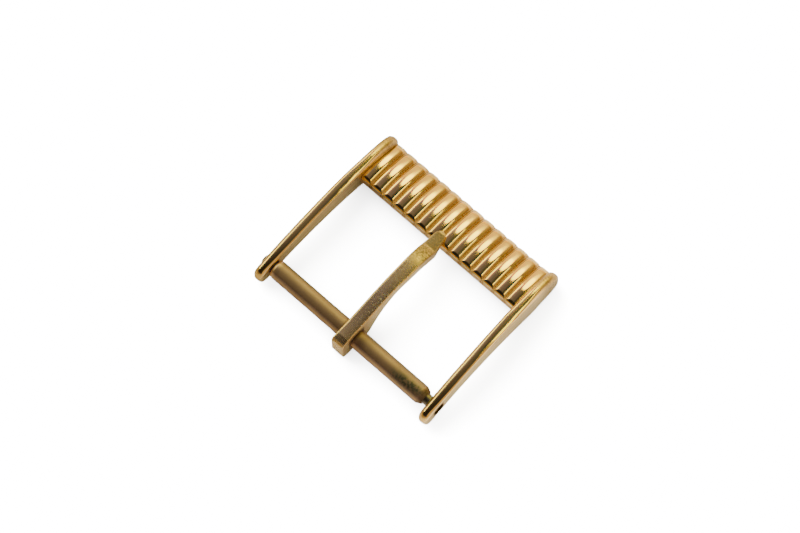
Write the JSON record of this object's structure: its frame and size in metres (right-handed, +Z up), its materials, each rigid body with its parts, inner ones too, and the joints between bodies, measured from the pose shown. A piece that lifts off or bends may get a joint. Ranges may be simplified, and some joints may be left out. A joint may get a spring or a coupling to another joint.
{
  "type": "pin buckle",
  "caption": "Small gold watch-strap buckle: two arched arms joined by a ribbed front bar, a sprung bar across the rear and a tongue that turns on it.",
  "frame": {"origin": "middle of the buckle's footprint, on the surface that it lies on", "axes": "+X runs along both bars, +Y from the spring bar to the ribbed bar, +Z up from the surface"},
  "size_m": [0.0179, 0.0157, 0.0035],
  "materials": {
    "gold_frame": "gold-plated, polished and lightly worn",
    "gold_spring_bar": "gold-plated, satin, dulled and stained",
    "gold_tongue": "gold-plated, polished, scuffed on top"
  },
  "bodies": {
    "frame": {"frame": "gold_frame"},
    "bar_tube": {"bar_tube": "gold_spring_bar"},
    "pin_left": {"pin_left": "gold_spring_bar"},
    "pin_right": {"pin_right": "gold_spring_bar"},
    "tongue": {"tongue": "gold_tongue"}
  },
  "joints": [
    {"name": "tongue_turn", "type": "hinge", "parent": "frame", "child": "tongue", "pos_m": [0, -0.00628, 0.0015], "axis": [1, 0, 0], "range_deg": [0, 345]},
    {"name": "tube_turn", "type": "hinge", "parent": "frame", "child": "bar_tube", "pos_m": [0, -0.00628, 0.0015], "axis": [1, 0, 0], "continuous": true},
    {"name": "pin_left_press", "type": "slide", "parent": "bar_tube", "child": "pin_left", "axis": [1, 0, 0], "range_m": [0, 0.0011], "stiffness_N_per_m": 300, "springref_m": -0.0005},
    {"name": "pin_right_press", "type": "slide", "parent": "bar_tube", "child": "pin_right", "axis": [-1, 0, 0], "range_m": [0, 0.001], "stiffness_N_per_m": 300, "springref_m": -0.0005}
  ]
}
